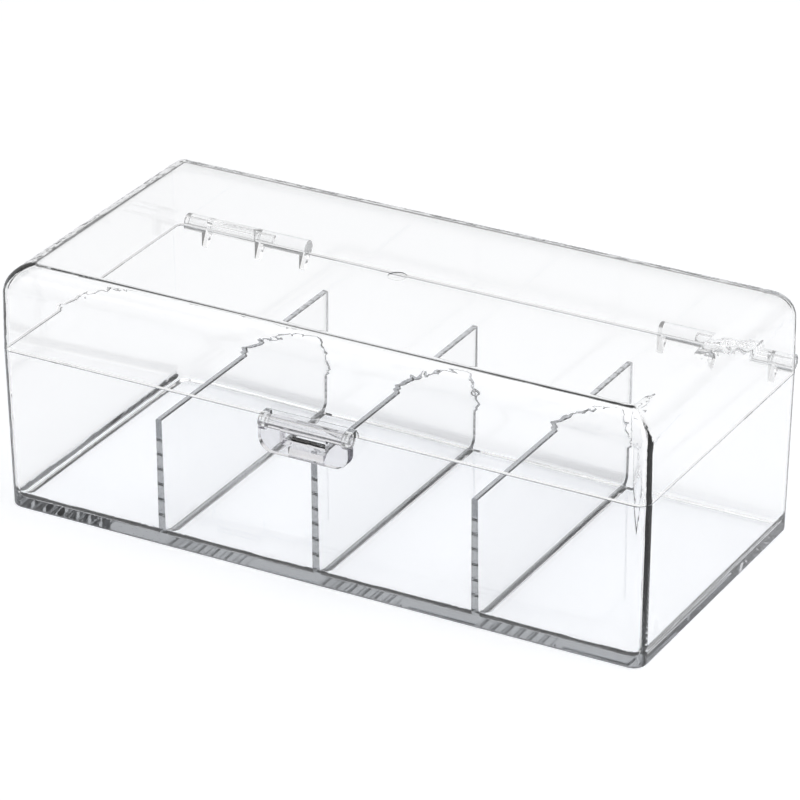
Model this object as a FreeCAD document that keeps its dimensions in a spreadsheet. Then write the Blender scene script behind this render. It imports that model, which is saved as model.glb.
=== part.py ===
"""Clear box for small accessories: a tray with four compartments, a hinged lid and a front clasp.

Millimetres, +Z up, +X along the length, the clasp at the front on -Y.
The origin is the centre of the flat underside.
"""
import FreeCAD, Part
import os

import Sketcher

SIZES = [
    # the two shells
    ("boxLength", 220.0, "outside length at the rims"),
    ("boxWidth", 105.4, "outside width at the rims"),
    ("splitHeight", 54.1, "height of the plane between tray and lid"),
    ("lidHeight", 27.6, "height of the lid above that plane"),
    ("rimGap", 0.3, "space left between the two rims"),
    ("wallThickness", 2.1, "side walls of tray and lid"),
    ("floorThickness", 2.5, "tray floor"),
    ("roofThickness", 2.1, "flat top of the lid"),
    ("coreOverrun", 1.0, "how far the moulding cores stand out past the rims"),
    ("baseDraft", 0.96, "lean of the tray walls in degrees"),
    ("lidDraft", 0.5, "lean of the lid walls in degrees"),
    ("cornerRadius", 4.5, "outside radius of the upright corners"),
    ("innerCornerRadius", 1.7, "inside radius of the upright corners"),
    ("crownRadius", 9.7, "outside radius where lid walls meet the top"),
    ("crownTrim", 0.06, "what the flat top cuts off that rounding"),
    ("footRadius", 1.2, "outside radius under the tray"),
    ("floorFillet", 4.2, "inside radius where tray walls meet the floor"),
    ("gateRadius", 3.0, "round moulding mark in the middle of the lid"),
    ("gateDepth", 0.3, "depth of that mark"),
    # the three dividers
    ("dividerCount", 3, "dividers across the tray"),
    ("dividerThickness", 2.1, "thickness at the top edge"),
    ("dividerHeight", 43.0, "height of the top edge"),
    ("dividerDraft", 0.3, "lean of each divider face in degrees"),
    ("dividerFoot", 1.2, "radius where a divider meets the floor"),
    ("dividerEdge", 0.35, "bevel along the top edge"),
    # the two rear hinges
    ("barrelRadius", 2.6, "outside radius of every hinge barrel"),
    ("barrelStandoff", 0.3, "space between rear wall and barrels"),
    ("hingeInset", 3.0, "from the end of the box to the last lug"),
    ("innerLugLength", 18.2, "first lug of the tray"),
    ("lidLugLength", 17.3, "lug of the lid"),
    ("outerLugLength", 8.5, "last lug of the tray"),
    ("lugGap", 0.3, "space between two lugs"),
    ("trayWebDrop", 1.8, "thickness of the strip that carries a tray lug"),
    ("lidWebRise", 3.6, "height at which a lid lug leaves the rear wall"),
    ("gussetThickness", 1.8, "thickness of the ribs under the tray lugs"),
    ("gussetDrop", 6.6, "depth of those ribs below the hinge line"),
    ("gussetTip", 0.4, "what is left of a rib at its lower end"),
    ("hingePinRadius", 1.0, "radius of the hinge pins"),
    ("hingePinGrip", 6.0, "length of pin held in the first lug"),
    ("hingePinRecess", 0.6, "how far a pin sits inside the last lug"),
    ("pinFit", 0.05, "running clearance around every pin"),
    ("pinEndPlay", 0.2, "space at the blind end of a pin"),
    ("pinChamfer", 0.25, "chamfer on the pin ends"),
    # the front clasp and what it meets
    ("latchWidth", 30.7, "width of the clasp over everything"),
    ("latchReach", 3.05, "from the front wall to the clasp pivot"),
    ("latchRise", 0.2, "height of that pivot above the split plane"),
    ("latchBarrelRadius", 2.3, "radius of the clasp barrel and the ears"),
    ("earWidth", 2.2, "width of each ear of the lid"),
    ("earGap", 0.15, "space between an ear and the clasp barrel"),
    ("earRelief", 0.25, "space around an ear inside the clasp"),
    ("latchPinRadius", 0.9, "radius of the clasp pin"),
    ("latchPinRecess", 0.4, "how far that pin sits inside the ears"),
    ("padOverhang", 0.65, "how far the raised pad passes the ears"),
    ("padHeight", 2.5, "height of the raised pad behind the barrel"),
    ("padThickness", 0.4, "how far the pad stands off the lid wall"),
    ("padCorner", 1.8, "radius of the pad's upper corners"),
    ("claspThickness", 3.2, "thickness of the clasp plate"),
    ("claspDrop", 9.4, "from the pivot to the lower end of the plate"),
    ("claspCorner", 5.0, "radius of the plate's lower corners"),
    ("claspEdge", 0.4, "small radius around the front of the plate"),
    ("shoulderDrop", 1.6, "from the pivot down to the plate's shoulders"),
    ("windowWidth", 15.4, "width of the opening in the plate"),
    ("windowDrop", 5.4, "from the pivot down to the sill of the opening"),
    ("windowCorner", 1.2, "radius of the opening's lower corners"),
    ("hookWidth", 12.0, "width of the hook behind the plate"),
    ("hookDrop", 7.0, "from the pivot down to the top of the hook"),
    ("hookReach", 1.9, "how far the hook stands behind the plate"),
    ("hookNose", 0.5, "height of the hook's blunt tip"),
    ("catchGap", 0.35, "space between hook and catch"),
    ("catchWidth", 13.0, "width of the catch on the tray"),
    ("catchReach", 1.75, "how far the catch stands off the tray wall"),
    ("catchNose", 0.6, "height of the catch's blunt edge"),
    ("catchSlope", 1.0, "height of the sloping top of the catch"),
]

document = FreeCAD.newDocument("accessory_box")
sizes = document.addObject("Spreadsheet::Sheet", "sizes")
for row, (alias, value, note) in enumerate(SIZES, 1):
    sizes.set(f"A{row}", alias)
    sizes.set(f"B{row}", str(value))
    sizes.setAlias(f"B{row}", alias)
    sizes.set(f"C{row}", note)
document.recompute()

# Places that several pieces share.
TRAY_RIM = "(sizes.splitHeight - sizes.rimGap / 2)"
LID_RIM = "(sizes.splitHeight + sizes.rimGap / 2)"
WALL_FACE = "(sizes.boxWidth / 2)"
WALL_MIDDLE = "(sizes.boxWidth / 2 - sizes.wallThickness / 2)"

DIVIDER_PITCH = "((sizes.boxLength - 2 * sizes.wallThickness) / (sizes.dividerCount + 1))"

HINGE_Y = "(sizes.boxWidth / 2 + sizes.barrelStandoff + sizes.barrelRadius)"
HINGE_Z = "sizes.splitHeight"
HINGE_END = "(sizes.boxLength / 2 - sizes.hingeInset)"
OUTER_LUG_START = f"({HINGE_END} - sizes.outerLugLength)"
LID_LUG_START = f"({OUTER_LUG_START} - sizes.lugGap - sizes.lidLugLength)"
INNER_LUG_START = f"({LID_LUG_START} - sizes.lugGap - sizes.innerLugLength)"
PIN_BORE_START = f"({LID_LUG_START} - sizes.lugGap - sizes.hingePinGrip)"

LATCH_Y = "(-sizes.boxWidth / 2 - sizes.latchReach)"
LATCH_Z = "(sizes.splitHeight + sizes.latchRise)"
CLASP_FRONT = f"({LATCH_Y} - sizes.latchBarrelRadius)"
CLASP_BACK = f"({CLASP_FRONT} + sizes.claspThickness)"
CLASP_END = f"({LATCH_Z} - sizes.claspDrop)"
BARREL_HALF = "(sizes.latchWidth / 2 - sizes.earWidth - sizes.earGap)"
EAR_START = "(sizes.latchWidth / 2 - sizes.earWidth)"
HOOK_TOP = f"({LATCH_Z} - sizes.hookDrop)"


def number(formula):
    return float(sizes.evalExpression(str(formula)))


def bind(item, formulas):
    for path, formula in formulas.items():
        item.setExpression(path, str(formula))


def new_sketch(body, name, role, height="0"):
    plane = next(item for item in body.Origin.OriginFeatures if item.Role == role)
    sketch = body.newObject("Sketcher::SketchObject", name)
    sketch.AttachmentSupport = [(plane, "")]
    sketch.MapMode = "FlatFace"
    sketch.setExpression("AttachmentOffset.Base.z", str(height))
    return sketch


def hold(sketch, kind, *target, formula):
    index = sketch.addConstraint(Sketcher.Constraint(kind, *target, number(formula)))
    sketch.setExpression(f"Constraints[{index}]", str(formula))


def outline(body, name, role, points, height="0"):
    """A closed outline whose every corner is held by its own distances from the origin."""
    sketch = new_sketch(body, name, role, height)
    spots = [FreeCAD.Vector(number(across), number(up), 0) for across, up in points]
    for spot, following in zip(spots, spots[1:] + spots[:1]):
        sketch.addGeometry(Part.LineSegment(spot, following))
    for index, (across, up) in enumerate(points):
        before = (index - 1) % len(points)
        sketch.addConstraint(Sketcher.Constraint("Coincident", before, 2, index, 1))
        hold(sketch, "DistanceX", -1, 1, index, 1, formula=across)
        hold(sketch, "DistanceY", -1, 1, index, 1, formula=up)
    return sketch


def rectangle(body, name, role, left, right, low, high, height="0"):
    return outline(body, name, role, [(left, low), (right, low), (right, high), (left, high)], height)


def centred(body, name, length, width, height):
    half_length, half_width = f"({length}) / 2", f"({width}) / 2"
    return rectangle(
        body, name, "XY_Plane", f"-{half_length}", half_length, f"-{half_width}", half_width, height
    )


def disc(body, name, role, across, up, radius, height="0"):
    sketch = new_sketch(body, name, role, height)
    centre = FreeCAD.Vector(number(across), number(up), 0)
    sketch.addGeometry(Part.Circle(centre, FreeCAD.Vector(0, 0, 1), number(radius)))
    hold(sketch, "DistanceX", -1, 1, 0, 3, formula=across)
    hold(sketch, "DistanceY", -1, 1, 0, 3, formula=up)
    hold(sketch, "Radius", 0, formula=radius)
    return sketch


def sweep(kind, body, name, sketch, length, side="One side", backwards=False, lean=None):
    """Adds (Pad) or removes (Pocket) what the sketch covers over that length."""
    feature = body.newObject(f"PartDesign::{kind}", name)
    feature.Profile = sketch
    feature.SideType = side
    feature.Reversed = backwards
    bind(feature, {"Length": length})
    if lean is not None:
        bind(feature, {"TaperAngle": f"-{lean}"})
    document.recompute()
    return feature


def dress(kind, body, name, size, wanted):
    """Rounds (Fillet) or bevels (Chamfer) the edges of the body that wanted() picks."""
    base = body.Tip
    edges = [f"Edge{index}" for index, edge in enumerate(base.Shape.Edges, 1) if wanted(edge)]
    feature = body.newObject(f"PartDesign::{kind}", name)
    feature.Base = (base, edges)
    bind(feature, {"Radius" if kind == "Fillet" else "Size": size})
    document.recompute()
    return feature


def ends(edge):
    return [vertex.Point for vertex in edge.Vertexes]


def level(edge, height):
    return all(abs(point.z - height) < 1e-4 for point in ends(edge))


def climbs(edge):
    return abs(ends(edge)[0].z - ends(edge)[-1].z) > 0.3


def runs(edge, axis):
    """True for a straight edge along that axis."""
    points = ends(edge)
    if len(points) < 2 or edge.Curve.TypeId != "Part::GeomLine":
        return False
    along = points[1] - points[0]
    return abs(getattr(along, axis)) > 0.999 * along.Length


def drafted_block(name, length, width, start, reach, lean, far_radius, corner_radius, downwards, core=None):
    """A block with leaning sides, rounded at its far end and up its four corners, hollowed by a core.

    Where the far radius is the larger one, the rounding of a corner would run out in a point on the
    end face, so the block is made a little longer and its end is cut flat there.
    """
    body = document.addObject("PartDesign::Body", name)
    way = -1 if downwards else 1
    runs_out = number(far_radius) > number(corner_radius)
    trim = "sizes.crownTrim" if runs_out else "0"
    sketch = centred(body, f"{name}_outline", length, width, start)
    sweep("Pad", body, f"{name}_pad", sketch, f"({reach} + {trim})", backwards=downwards, lean=lean)
    if core is not None:
        hollow = body.newObject("PartDesign::Boolean", f"{name}_hollow")
        hollow.Type = "Cut"
        hollow.setObjects([core])
        document.recompute()
    far = number(start) + number(f"{reach} + {trim}") * way
    skin = number(f"{length} / 2 - sizes.wallThickness / 2")
    rounds = [
        ("far", far_radius, lambda edge: level(edge, far)),
        ("corners", corner_radius, lambda edge: climbs(edge) and max(abs(spot.x) for spot in ends(edge)) > skin),
    ]
    if not runs_out:
        rounds.reverse()
    for place, radius, wanted in rounds:
        dress("Fillet", body, f"{name}_{place}", radius, wanted)
    if runs_out:
        end = centred(body, f"{name}_end", length, width, f"({start} + {way} * {reach})")
        sweep("Pocket", body, f"{name}_trim", end, "1", backwards=not downwards)
    return body


def cut(name, base, tool):
    feature = document.addObject("Part::Cut", name)
    feature.Base, feature.Tool = base, tool
    feature.Refine = False
    document.recompute()
    return feature


def fuse(name, pieces):
    feature = document.addObject("Part::MultiFuse", name)
    feature.Shapes = pieces
    feature.Refine = True
    document.recompute()
    return feature


def sided(side, start, length):
    """The lower X of a piece that starts at that distance from the middle, on the side asked for."""
    return f"{start}" if side > 0 else f"-({start} + {length})"


def rod(name, radius, start, length, across, up):
    """A round bar along +X."""
    bar = document.addObject("Part::Cylinder", name)
    bar.Placement = FreeCAD.Placement(FreeCAD.Vector(), FreeCAD.Rotation(FreeCAD.Vector(0, 1, 0), 90))
    places = {"Placement.Base.x": start, "Placement.Base.y": across, "Placement.Base.z": up}
    bind(bar, {"Radius": radius, "Height": length, **places})
    return bar


def slab(name, profile, start, length):
    """A flat piece: a profile seen from the right, made thick along +X."""
    body = document.addObject("PartDesign::Body", name)
    sketch = outline(body, f"{name}_profile", "YZ_Plane", profile, start)
    sweep("Pad", body, f"{name}_pad", sketch, length)
    return body


def dividers():
    """Three upright plates on a common foot, the shape that the moulding core leaves free."""
    body = document.addObject("PartDesign::Body", "dividers")
    foot = centred(body, "divider_foot", "sizes.boxLength", "sizes.boxWidth", "sizes.floorThickness")
    sweep("Pad", body, "divider_foot_pad", foot, "sizes.floorThickness / 2", backwards=True)
    first = f"(-{DIVIDER_PITCH} * (sizes.dividerCount - 1) / 2)"
    top = "sizes.dividerThickness / 2"
    rise = "(sizes.dividerHeight - sizes.dividerEdge - sizes.floorThickness)"
    bottom = f"({top} + {rise} * tan(sizes.dividerDraft))"
    shoulder = "(sizes.dividerHeight - sizes.dividerEdge)"
    plate = outline(body, "divider_profile", "XZ_Plane", [
        (f"{first} - {bottom}", "sizes.floorThickness"),
        (f"{first} + {bottom}", "sizes.floorThickness"),
        (f"{first} + {top}", shoulder),
        (f"{first} + {top} - sizes.dividerEdge", "sizes.dividerHeight"),
        (f"{first} - {top} + sizes.dividerEdge", "sizes.dividerHeight"),
        (f"{first} - {top}", shoulder),
    ])
    pad = sweep("Pad", body, "divider_pad", plate, "sizes.boxWidth", side="Symmetric")
    row = body.newObject("PartDesign::LinearPattern", "divider_row")
    row.Originals = [pad]
    row.Direction = (plate, ["H_Axis"])
    row.Mode = "Spacing"
    bind(row, {"Offset": DIVIDER_PITCH, "Occurrences": "sizes.dividerCount"})
    body.Tip = row
    document.recompute()
    floor = number("sizes.floorThickness")
    inside = number("sizes.boxLength / 2") - 1
    dress("Fillet", body, "divider_feet", "sizes.dividerFoot",
          lambda edge: level(edge, floor) and runs(edge, "y") and abs(ends(edge)[0].x) < inside)
    return body


def core_outline(lean):
    """Length and width of a moulding core where it stands clear of the rim."""
    growth = f"2 * sizes.coreOverrun * tan({lean})"
    return [f"({side} - 2 * sizes.wallThickness + {growth})" for side in ("sizes.boxLength", "sizes.boxWidth")]


def tray_shell():
    outside = drafted_block(
        "tray_outside", "sizes.boxLength", "sizes.boxWidth", TRAY_RIM, TRAY_RIM,
        "sizes.baseDraft", "sizes.footRadius", "sizes.cornerRadius", downwards=True,
    )
    length, width = core_outline("sizes.baseDraft")
    top = f"({TRAY_RIM} + sizes.coreOverrun)"
    core = drafted_block(
        "tray_core", length, width, top, f"({top} - sizes.floorThickness)",
        "sizes.baseDraft", "sizes.floorFillet", "sizes.innerCornerRadius", downwards=True,
    )
    compartments = cut("compartments", core, dividers())
    return cut("tray_shell", outside, compartments)


def tray_lug(side, label, start, length, ribs):
    """A hinge barrel of the tray with the strip and the ribs that carry it, bored for the pin."""
    name = f"{label}_{'right' if side > 0 else 'left'}"
    low = f"({HINGE_Z} - sizes.trayWebDrop)"
    web = [(WALL_MIDDLE, low), (HINGE_Y, low), (HINGE_Y, TRAY_RIM), (WALL_MIDDLE, TRAY_RIM)]
    foot = f"({HINGE_Z} - sizes.gussetDrop)"
    rib = [
        (WALL_MIDDLE, foot),
        (f"({WALL_FACE} + sizes.gussetTip)", foot),
        (f"({HINGE_Y} + sizes.barrelRadius * cos(40))", f"({HINGE_Z} - sizes.barrelRadius * sin(40))"),
        (HINGE_Y, TRAY_RIM),
        (WALL_MIDDLE, TRAY_RIM),
    ]
    place = sided(side, start, length)
    pieces = [
        rod(f"{name}_barrel", "sizes.barrelRadius", place, length, HINGE_Y, HINGE_Z),
        slab(f"{name}_web", web, place, length),
    ]
    for index, offset in enumerate(ribs):
        rib_place = sided(side, f"({start} + {offset})", "sizes.gussetThickness")
        pieces.append(slab(f"{name}_rib_{index}", rib, rib_place, "sizes.gussetThickness"))
    bore_length = f"({HINGE_END} - {PIN_BORE_START} + sizes.wallThickness)"
    bore_place = sided(side, PIN_BORE_START, bore_length)
    bore = rod(f"{name}_bore", "sizes.hingePinRadius", bore_place, bore_length, HINGE_Y, HINGE_Z)
    return cut(name, fuse(f"{name}_solid", pieces), bore)


def catch():
    """The ledge on the tray wall that the hook of the clasp sits under."""
    low = f"({HOOK_TOP} + sizes.catchGap)"
    reach = f"(-{WALL_FACE} - sizes.catchReach)"
    profile = [
        (f"-{WALL_MIDDLE}", low),
        (reach, low),
        (reach, f"({low} + sizes.catchNose)"),
        (f"-{WALL_FACE}", f"({low} + sizes.catchNose + sizes.catchSlope)"),
        (f"-{WALL_MIDDLE}", f"({low} + sizes.catchNose + sizes.catchSlope)"),
    ]
    return slab("catch", profile, "-sizes.catchWidth / 2", "sizes.catchWidth")


def base_tray():
    pieces = [tray_shell(), catch()]
    far_rib = "(sizes.innerLugLength - sizes.gussetThickness)"
    for side in (-1, 1):
        pieces.append(tray_lug(side, "inner_lug", INNER_LUG_START, "sizes.innerLugLength", ["0", far_rib]))
        pieces.append(tray_lug(side, "outer_lug", OUTER_LUG_START, "sizes.outerLugLength", ["0"]))
    return fuse("base_tray", pieces)


def lid_shell():
    rise = f"(sizes.splitHeight + sizes.lidHeight - {LID_RIM})"
    length, width = core_outline("sizes.lidDraft")
    reach = f"({rise} + sizes.coreOverrun - sizes.roofThickness)"
    inner_crown = "(sizes.crownRadius - sizes.wallThickness)"
    core = drafted_block(
        "lid_core", length, width, f"({LID_RIM} - sizes.coreOverrun)", reach,
        "sizes.lidDraft", inner_crown, "sizes.innerCornerRadius", downwards=False,
    )
    return drafted_block(
        "lid_shell", "sizes.boxLength", "sizes.boxWidth", LID_RIM, rise,
        "sizes.lidDraft", "sizes.crownRadius", "sizes.cornerRadius", downwards=False, core=core,
    )


def lid_lug(side):
    """The hinge barrel of the lid and the web that ties it to the rear wall."""
    name = f"lid_lug_{'right' if side > 0 else 'left'}"
    top = f"({HINGE_Z} + sizes.lidWebRise)"
    profile = [
        (WALL_MIDDLE, LID_RIM),
        (HINGE_Y, LID_RIM),
        (HINGE_Y, f"({HINGE_Z} + sizes.barrelRadius)"),
        (WALL_FACE, top),
        (WALL_MIDDLE, top),
    ]
    length = "sizes.lidLugLength"
    place = sided(side, LID_LUG_START, length)
    barrel = rod(f"{name}_barrel", "sizes.barrelRadius", place, length, HINGE_Y, HINGE_Z)
    web = slab(f"{name}_web", profile, place, length)
    radius = "(sizes.hingePinRadius + sizes.pinFit)"
    bore = rod(f"{name}_bore", radius, place, length, HINGE_Y, HINGE_Z)
    return cut(name, fuse(f"{name}_solid", [barrel, web]), bore)


def latch_pad():
    """The low plate on the lid wall that the two ears grow from."""
    body = document.addObject("PartDesign::Body", "latch_pad")
    half = "(sizes.latchWidth / 2 + sizes.padOverhang)"
    sketch = rectangle(body, "latch_pad_outline", "XZ_Plane", f"-{half}", half,
                       LID_RIM, f"({LID_RIM} + sizes.padHeight)", WALL_MIDDLE)
    sweep("Pad", body, "latch_pad_plate", sketch, "sizes.padThickness + sizes.wallThickness / 2")
    top = number(f"{LID_RIM} + sizes.padHeight")
    dress("Fillet", body, "latch_pad_corners", "sizes.padCorner",
          lambda edge: level(edge, top) and runs(edge, "y"))
    return body


def ear(side):
    """A round ear with a block behind it that reaches the lid wall, bored for the clasp pin."""
    name = f"ear_{'right' if side > 0 else 'left'}"
    place = sided(side, EAR_START, "sizes.earWidth")
    top = f"({LATCH_Z} + sizes.latchBarrelRadius)"
    profile = [(LATCH_Y, LID_RIM), (f"-{WALL_MIDDLE}", LID_RIM), (f"-{WALL_MIDDLE}", top), (LATCH_Y, top)]
    nose = rod(f"{name}_nose", "sizes.latchBarrelRadius", place, "sizes.earWidth", LATCH_Y, LATCH_Z)
    block = slab(f"{name}_block", profile, place, "sizes.earWidth")
    bore = rod(f"{name}_bore", "sizes.latchPinRadius", place, "sizes.earWidth", LATCH_Y, LATCH_Z)
    return cut(name, fuse(f"{name}_solid", [nose, block]), bore)


def lid():
    pieces = [lid_shell(), latch_pad(), lid_lug(-1), lid_lug(1), ear(-1), ear(1)]
    mark = document.addObject("Part::Cylinder", "gate_mark")
    depth = "sizes.splitHeight + sizes.lidHeight - sizes.gateDepth"
    bind(mark, {"Radius": "sizes.gateRadius", "Height": "2 * sizes.gateDepth", "Placement.Base.z": depth})
    return cut("lid", fuse("lid_solid", pieces), mark)


def pin(name, radius, start, length, across, up):
    """A plain round pin along +X with bevelled ends."""
    body = document.addObject("PartDesign::Body", name)
    sketch = disc(body, f"{name}_section", "YZ_Plane", across, up, radius, start)
    sweep("Pad", body, f"{name}_pad", sketch, length)
    dress("Chamfer", body, f"{name}_ends", "sizes.pinChamfer", lambda edge: len(edge.Vertexes) == 1)
    return body


def hinge_pin(side):
    name = f"hinge_pin_{'right' if side > 0 else 'left'}"
    start = f"({PIN_BORE_START} + sizes.pinEndPlay)"
    length = f"({HINGE_END} - sizes.hingePinRecess - {start})"
    return pin(name, "sizes.hingePinRadius", sided(side, start, length), length, HINGE_Y, HINGE_Z)


def latch_pin():
    half = "(sizes.latchWidth / 2 - sizes.latchPinRecess)"
    return pin("latch_pin", "sizes.latchPinRadius", f"-{half}", f"2 * {half}", LATCH_Y, LATCH_Z)


def latch_clasp():
    """A plate with an opening, the barrel that it hangs from and the hook behind it."""
    body = document.addObject("PartDesign::Body", "latch_clasp")
    half = "(sizes.latchWidth / 2)"
    front = f"-{CLASP_FRONT}"
    plate = rectangle(body, "clasp_outline", "XZ_Plane", f"-{half}", half, CLASP_END, LATCH_Z, front)
    sweep("Pad", body, "clasp_plate", plate, "sizes.claspThickness", backwards=True)
    low = number(CLASP_END)
    dress("Fillet", body, "clasp_corners", "sizes.claspCorner",
          lambda edge: level(edge, low) and runs(edge, "y"))
    front_y, top_z = number(CLASP_FRONT), number(LATCH_Z)
    dress("Fillet", body, "clasp_front_edge", "sizes.claspEdge",
          lambda edge: all(abs(point.y - front_y) < 1e-4 for point in ends(edge)) and not level(edge, top_z))
    half_window = "(sizes.windowWidth / 2)"
    sill = f"({LATCH_Z} - sizes.windowDrop)"
    window = rectangle(body, "window_outline", "XZ_Plane", f"-{half_window}", half_window,
                       sill, f"({LATCH_Z} + 1)", front)
    sweep("Pocket", body, "window", window, "sizes.claspThickness")
    sill_z, window_x = number(sill), number(half_window)
    dress("Fillet", body, "window_corners", "sizes.windowCorner",
          lambda edge: runs(edge, "y") and level(edge, sill_z) and abs(abs(ends(edge)[0].x) - window_x) < 1e-4)
    for side in (-1, 1):
        clear_ear(body, side)
    barrel = disc(body, "barrel_section", "YZ_Plane", LATCH_Y, LATCH_Z, "sizes.latchBarrelRadius")
    sweep("Pad", body, "barrel", barrel, f"2 * {BARREL_HALF}", side="Symmetric")
    bore = disc(body, "bore_section", "YZ_Plane", LATCH_Y, LATCH_Z, "(sizes.latchPinRadius + sizes.pinFit)")
    sweep("Pocket", body, "bore", bore, "sizes.latchWidth", side="Symmetric")
    tip = f"({CLASP_BACK} + sizes.hookReach)"
    hook = outline(body, "hook_profile", "YZ_Plane", [
        (f"({CLASP_BACK} - sizes.claspThickness / 4)", CLASP_END),
        (CLASP_BACK, CLASP_END),
        (tip, f"({HOOK_TOP} - sizes.hookNose)"),
        (tip, HOOK_TOP),
        (f"({CLASP_BACK} - sizes.claspThickness / 4)", HOOK_TOP),
    ])
    sweep("Pad", body, "hook", hook, "sizes.hookWidth", side="Symmetric")
    return body


def clear_ear(body, side):
    """Takes away the plate around one ear: what stands above the shoulder, then a round hollow."""
    name = f"ear_{'right' if side > 0 else 'left'}"
    edges = [BARREL_HALF, "sizes.latchWidth"]
    left, right = edges if side > 0 else [f"-{edge}" for edge in reversed(edges)]
    shoulder = f"({LATCH_Z} - sizes.shoulderDrop)"
    above = rectangle(body, f"{name}_shoulder", "XZ_Plane", left, right, shoulder, f"({LATCH_Z} + 1)",
                      f"-{CLASP_FRONT}")
    sweep("Pocket", body, f"{name}_gap", above, "sizes.claspThickness")
    radius = "(sizes.latchBarrelRadius + sizes.earRelief)"
    round_gap = disc(body, f"{name}_round", "YZ_Plane", LATCH_Y, LATCH_Z, radius,
                     BARREL_HALF if side > 0 else f"-{BARREL_HALF}")
    sweep("Pocket", body, f"{name}_hollow", round_gap, "sizes.latchWidth", backwards=side > 0)


nodes = [base_tray(), lid(), latch_clasp(), latch_pin(), hinge_pin(-1), hinge_pin(1)]
document.recompute()

faults = [item.Name for item in document.Objects if {"Invalid", "Error"} & set(item.State)]
faults += [node.Label for node in nodes if node.Shape.isNull() or not node.Shape.isValid()]
faults += [node.Label for node in nodes if len(node.Shape.Solids) != 1]
for index in range(int(number("sizes.dividerCount"))):
    across = number(f"{DIVIDER_PITCH} * ({index} - (sizes.dividerCount - 1) / 2)")
    if not nodes[0].Shape.isInside(FreeCAD.Vector(across, 0, number("sizes.dividerHeight / 2")), 1e-4, False):
        faults.append(f"divider {index + 1}")
if faults:
    raise SystemExit(f"these did not build: {faults}")

os.makedirs("parts", exist_ok=True)
for node in nodes:
    node.Shape.exportStep(f"parts/{node.Label}.step")
    box = node.Shape.optimalBoundingBox()
    corners = " ".join(f"{low:.2f}..{high:.2f}" for low, high in (
        (box.XMin, box.XMax), (box.YMin, box.YMax), (box.ZMin, box.ZMax)))
    print(f"{node.Label}: {len(node.Shape.Solids)} solid, {node.Shape.Volume:.1f} mm3, {corners}")
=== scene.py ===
# Clear accessory box on a pale table: polished see-through mouldings under soft studio light.
import bmesh
import bpy
import math
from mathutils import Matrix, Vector


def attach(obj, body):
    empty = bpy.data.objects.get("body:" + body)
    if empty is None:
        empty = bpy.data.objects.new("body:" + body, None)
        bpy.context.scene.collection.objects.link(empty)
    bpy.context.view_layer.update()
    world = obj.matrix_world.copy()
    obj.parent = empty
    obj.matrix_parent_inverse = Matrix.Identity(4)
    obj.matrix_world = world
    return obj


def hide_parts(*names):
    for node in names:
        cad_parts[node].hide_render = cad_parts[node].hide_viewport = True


mm = 0.001
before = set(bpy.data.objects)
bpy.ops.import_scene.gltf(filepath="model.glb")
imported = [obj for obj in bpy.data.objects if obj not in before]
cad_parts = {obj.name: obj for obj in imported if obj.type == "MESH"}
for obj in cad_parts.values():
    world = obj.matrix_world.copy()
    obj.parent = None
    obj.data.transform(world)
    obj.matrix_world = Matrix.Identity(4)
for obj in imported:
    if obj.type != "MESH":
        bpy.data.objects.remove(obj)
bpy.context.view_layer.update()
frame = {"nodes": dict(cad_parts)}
scene = bpy.context.scene
print("frame loaded:", ", ".join(frame["nodes"]))


def linearColour(hexCode):
    channels = [int(hexCode[i:i + 2], 16) / 255 for i in (1, 3, 5)]
    linear = [c / 12.92 if c <= 0.04045 else ((c + 0.055) / 1.055) ** 2.4 for c in channels]
    return (*linear, 1.0)


def addNode(tree, kind, settings=None, **links):
    # settings: plain socket values or node properties; links: socket name to an output
    node = tree.nodes.new(kind)
    for name, value in (settings or {}).items():
        if isinstance(name, int) or name in node.inputs:
            node.inputs[name].default_value = value
        else:
            setattr(node, name, value)
    for name, output in links.items():
        key = int(name[1:]) if name[0] == "i" and name[1:].isdigit() else name.replace("_", " ")
        tree.links.new(output, node.inputs[key])
    return node


def newMaterial(name):
    material = bpy.data.materials.new(name)
    material.use_nodes = True
    material.node_tree.nodes.clear()
    return material, material.node_tree


acrylic = {
    "ior": 1.49,
    "roughness": 0.0,
    "depthTint": "#5A6878",  # a cool grey on long ways through the plastic
    "depth": 9.0,  # per metre
    "shadowTint": "#F9FAFC",  # what each surface lets through of the light that falls on the table
    "waveSize": 38.0,  # mm, slow waves left by the flow of the melt
    "waveDepth": 0.012,  # mm
    "waveStrength": 0.05,
}
claspAcrylic = dict(acrylic, depthTint="#6A6284", depth=50.0, waveSize=14.0)
rodAcrylic = dict(acrylic, roughness=0.12, waveSize=6.0, waveDepth=0.02)


def acrylicMaterial(name, look):
    material, tree = newMaterial(name)
    place = addNode(tree, "ShaderNodeTexCoord")
    waves = addNode(tree, "ShaderNodeTexNoise", {"Scale": 1 / (look["waveSize"] * mm), "Detail": 1.0},
                    Vector=place.outputs["Object"])
    bump = addNode(tree, "ShaderNodeBump", {
        "Strength": look["waveStrength"],
        "Distance": look["waveDepth"] * mm,
    }, Height=waves.outputs["Fac"])
    body = addNode(tree, "ShaderNodeBsdfPrincipled", {
        "Base Color": (1, 1, 1, 1),
        "Roughness": look["roughness"],
        "IOR": look["ior"],
        "Transmission Weight": 1.0,
    }, Normal=bump.outputs["Normal"])
    ray = addNode(tree, "ShaderNodeLightPath")
    through = addNode(tree, "ShaderNodeBsdfTransparent", {"Color": linearColour(look["shadowTint"])})
    mix = addNode(tree, "ShaderNodeMixShader", None, i0=ray.outputs["Is Shadow Ray"],
                  i1=body.outputs[0], i2=through.outputs[0])
    depth = addNode(tree, "ShaderNodeVolumeAbsorption", {
        "Color": linearColour(look["depthTint"]),
        "Density": look["depth"],
    })
    addNode(tree, "ShaderNodeOutputMaterial", None, Surface=mix.outputs[0], Volume=depth.outputs[0])
    return material


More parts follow.
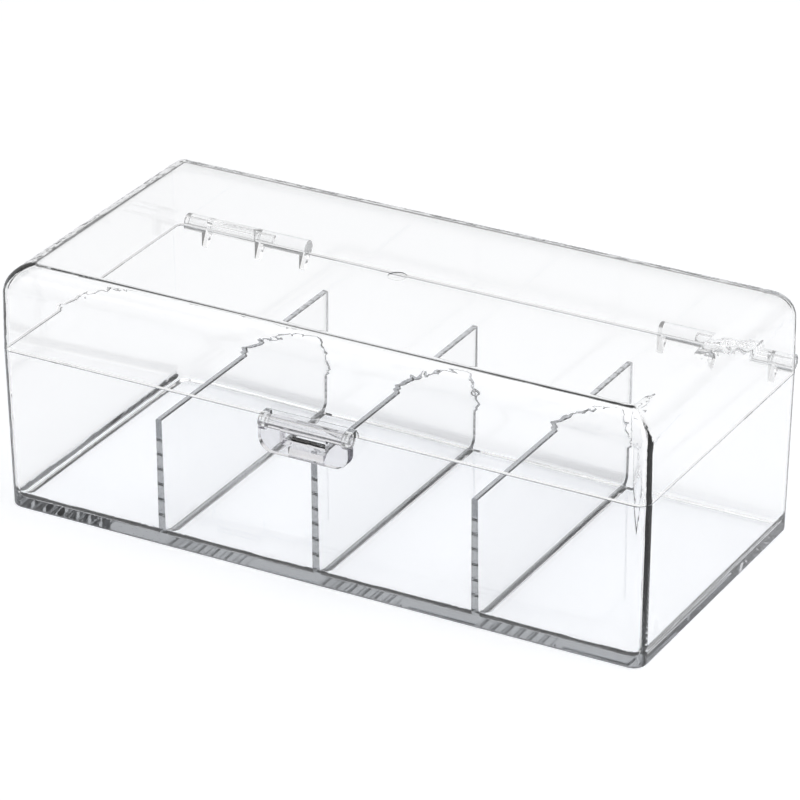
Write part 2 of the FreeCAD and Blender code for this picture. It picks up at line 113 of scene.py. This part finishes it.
# walls that stay water clear, with bright faces and dark lines along the edges, partly from the long way
# through the plastic and partly from light trapped inside that comes out onto the painted dark of table
# and sky
mouldedClear = acrylicMaterial("clear acrylic, moulded and polished", acrylic)
# the clasp has a trace of violet where one looks along the plate
mouldedClasp = acrylicMaterial("clear acrylic, clasp", claspAcrylic)
# drawn rod, its faint haze shows as a lighter core in the barrels
drawnRod = acrylicMaterial("clear acrylic rod, drawn", rodAcrylic)


polish = {
    "weld": 0.0005,  # mm
    "sharpAngle": 32.0,  # degrees, edges above it stay sharp
}


def polishedCopy(nodeName, bodyName, material):
    # the CAD node's own shape, welded so that light bends smoothly over the rounded edges
    source = frame["nodes"][nodeName]
    mesh = source.data.copy()
    mesh.name = nodeName + "_polished"
    work = bmesh.new()
    work.from_mesh(mesh)
    bmesh.ops.remove_doubles(work, verts=work.verts, dist=polish["weld"] * mm)
    for face in work.faces:
        face.smooth = True
    for edge in work.edges:
        if len(edge.link_faces) == 2 and edge.calc_face_angle(0) > math.radians(polish["sharpAngle"]):
            edge.smooth = False
    work.to_mesh(mesh)
    work.free()
    mesh.materials.clear()
    mesh.materials.append(material)
    piece = bpy.data.objects.new(nodeName + "_polished", mesh)
    scene.collection.objects.link(piece)
    weighted = piece.modifiers.new("faceWeight", "WEIGHTED_NORMAL")
    weighted.keep_sharp = True
    weighted.mode = "FACE_AREA_WITH_ANGLE"
    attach(piece, bodyName)
    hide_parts(nodeName)
    return piece


polishedCopy("base_tray", "tray", mouldedClear)
polishedCopy("lid", "lid", mouldedClear)
polishedCopy("latch_clasp", "clasp", mouldedClasp)
polishedCopy("latch_pin", "lid", drawnRod)
for side in ("left", "right"):
    polishedCopy("hinge_pin_" + side, "tray", drawnRod)
print("mouldings polished")

studio = {
    "floorColour": "#F2F3F5",
    "floorSize": 6.0,  # metres
    "floorDrop": 0.2,  # mm below the box
    "floorGlow": 0.36,  # brings the lit table up to white for the eye
    "worldLight": 0.36,
    "paintedDarkLevel": 0.07,  # painted dark on table and sky where black flags near the box would stand, met only by light that has bounced inside an edge
    "paintedDarkLeast": 0.12,  # share of the painted dark over the rest of the table
    "paintedDarkSlant": (0.56, 0.36),  # slant at which the table is painted dark, 0 straight down, 1 along it
    "paintedDarkHeight": (0.5, 0.2),  # height at which the sky is painted dark, 0 the horizon, 1 overhead
    "lamps": [
        # name, place in metres, size in metres, watts
        ("top softbox", (0.1, 0.1, 1.5), (1.6, 1.6), 9),
        ("left softbox", (-1.3, -0.7, 0.9), (0.9, 1.2), 3.5),
        ("right softbox", (1.3, -0.2, 0.9), (0.9, 1.2), 3.5),
    ],
    "aim": (0, 0, 0.04),
    "bounces": 32,  # light travels far inside clear edges before it gets out
}


def seenRays(tree):
    # seen: 1 for the eye and for what it sees in or through a clear surface
    # inner: 1 for light that comes out of the plastic after bouncing inside it
    ray = addNode(tree, "ShaderNodeLightPath")
    bent = addNode(tree, "ShaderNodeMath", {"operation": "MAXIMUM"}, i0=ray.outputs["Is Glossy Ray"],
                   i1=ray.outputs["Is Transmission Ray"])
    seen = addNode(tree, "ShaderNodeMath", {"operation": "MAXIMUM"}, i0=ray.outputs["Is Camera Ray"],
                   i1=bent.outputs[0])
    bounced = addNode(tree, "ShaderNodeMath", {"operation": "GREATER_THAN", 1: 0.5},
                      i0=ray.outputs["Glossy Depth"])
    inner = addNode(tree, "ShaderNodeMath", {"operation": "MULTIPLY"}, i0=bounced.outputs[0],
                    i1=ray.outputs["Is Transmission Ray"])
    return seen.outputs[0], inner.outputs[0]


def paintedDarkShare(tree, inner, where, fromTo, least):
    # painted shade: the share of white that the painted dark patches leave on table and sky, from 1 where
    # nothing is painted dark
    part = addNode(tree, "ShaderNodeMapRange", {"interpolation_type": "SMOOTHSTEP", "From Min": fromTo[0],
                                                "From Max": fromTo[1], "To Min": least}, Value=where)
    amount = addNode(tree, "ShaderNodeMath", {"operation": "MULTIPLY"}, i0=inner, i1=part.outputs[0])
    left = addNode(tree, "ShaderNodeMapRange", {"To Min": 1.0, "To Max": studio["paintedDarkLevel"]},
                   Value=amount.outputs[0])
    return left.outputs[0]


def buildFloor():
    material, tree = newMaterial("pale table board")
    seen, inner = seenRays(tree)
    slant = addNode(tree, "ShaderNodeLayerWeight", {"Blend": 0.5})
    # painted dark reflection: the table is painted dark where light bounced inside an edge comes steeply
    # down onto it
    level = paintedDarkShare(tree, inner, slant.outputs["Facing"], studio["paintedDarkSlant"], studio["paintedDarkLeast"])
    colour = addNode(tree, "ShaderNodeMix", {
        "data_type": "RGBA", 6: (0, 0, 0, 1), 7: linearColour(studio["floorColour"])}, i0=level)
    paint = addNode(tree, "ShaderNodeBsdfDiffuse", None, Color=colour.outputs[2])
    shown = addNode(tree, "ShaderNodeMath", {"operation": "MULTIPLY"}, i0=level, i1=seen)
    strength = addNode(tree, "ShaderNodeMath", {"operation": "MULTIPLY", 1: studio["floorGlow"]},
                       i0=shown.outputs[0])
    glow = addNode(tree, "ShaderNodeEmission", None, Strength=strength.outputs[0])
    both = addNode(tree, "ShaderNodeAddShader", None, i0=paint.outputs[0], i1=glow.outputs[0])
    addNode(tree, "ShaderNodeOutputMaterial", None, Surface=both.outputs[0])
    board = bmesh.new()
    bmesh.ops.create_grid(board, x_segments=1, y_segments=1, size=studio["floorSize"] / 2)
    mesh = bpy.data.meshes.new("table")
    board.to_mesh(mesh)
    board.free()
    mesh.materials.append(material)
    table = bpy.data.objects.new("table", mesh)
    table.location.z = -studio["floorDrop"] * mm
    scene.collection.objects.link(table)


def buildWorld():
    world = bpy.data.worlds.new("studio")
    scene.world = world
    world.use_nodes = True
    tree = world.node_tree
    tree.nodes.clear()
    seen, inner = seenRays(tree)
    place = addNode(tree, "ShaderNodeTexCoord")
    part = addNode(tree, "ShaderNodeSeparateXYZ", None, Vector=place.outputs["Generated"])
    # painted dark reflection: the sky is painted dark low down, for light bounced inside an edge
    room = paintedDarkShare(tree, inner, part.outputs["Z"], studio["paintedDarkHeight"], 0.0)
    level = addNode(tree, "ShaderNodeMix", {"data_type": "FLOAT", 2: studio["worldLight"]},
                    i0=seen, i3=room)
    light = addNode(tree, "ShaderNodeBackground", {"Color": (1, 1, 1, 1)}, Strength=level.outputs[0])
    addNode(tree, "ShaderNodeOutputWorld", None, Surface=light.outputs[0])


def buildLamps():
    for name, place, size, watts in studio["lamps"]:
        data = bpy.data.lights.new(name, "AREA")
        data.shape = "RECTANGLE"
        data.size, data.size_y = size
        data.energy = watts
        lamp = bpy.data.objects.new(name, data)
        lamp.location = place
        lamp.rotation_euler = (Vector(studio["aim"]) - Vector(place)).to_track_quat("-Z", "Y").to_euler()
        scene.collection.objects.link(lamp)


buildFloor()
buildWorld()
buildLamps()
scene.view_settings.view_transform = "Standard"
scene.cycles.max_bounces = studio["bounces"]
scene.cycles.glossy_bounces = studio["bounces"]
scene.cycles.transmission_bounces = studio["bounces"]

camera = {
    "azimuth": 28.79,  # degrees to the right of the front
    "elevation": 26.29,
    "distance": 1.452,  # metres
    "target": (0.0009, 0.0, 0.04023),
    "lens": 214.1,  # mm, on a sensor 36 mm wide
    "sensor": 36,
}


def buildCamera():
    turn, rise = math.radians(camera["azimuth"]), math.radians(camera["elevation"])
    back = Vector((math.sin(turn) * math.cos(rise), -math.cos(turn) * math.cos(rise), math.sin(rise)))
    data = bpy.data.cameras.new("camera")
    data.lens = camera["lens"]
    data.sensor_width = camera["sensor"]
    data.clip_start, data.clip_end = 0.05, 50
    eye = bpy.data.objects.new("camera", data)
    eye.location = Vector(camera["target"]) + back * camera["distance"]
    eye.rotation_euler = (-back).to_track_quat("-Z", "Y").to_euler()
    scene.collection.objects.link(eye)
    scene.camera = eye


buildCamera()
print("studio and camera set")
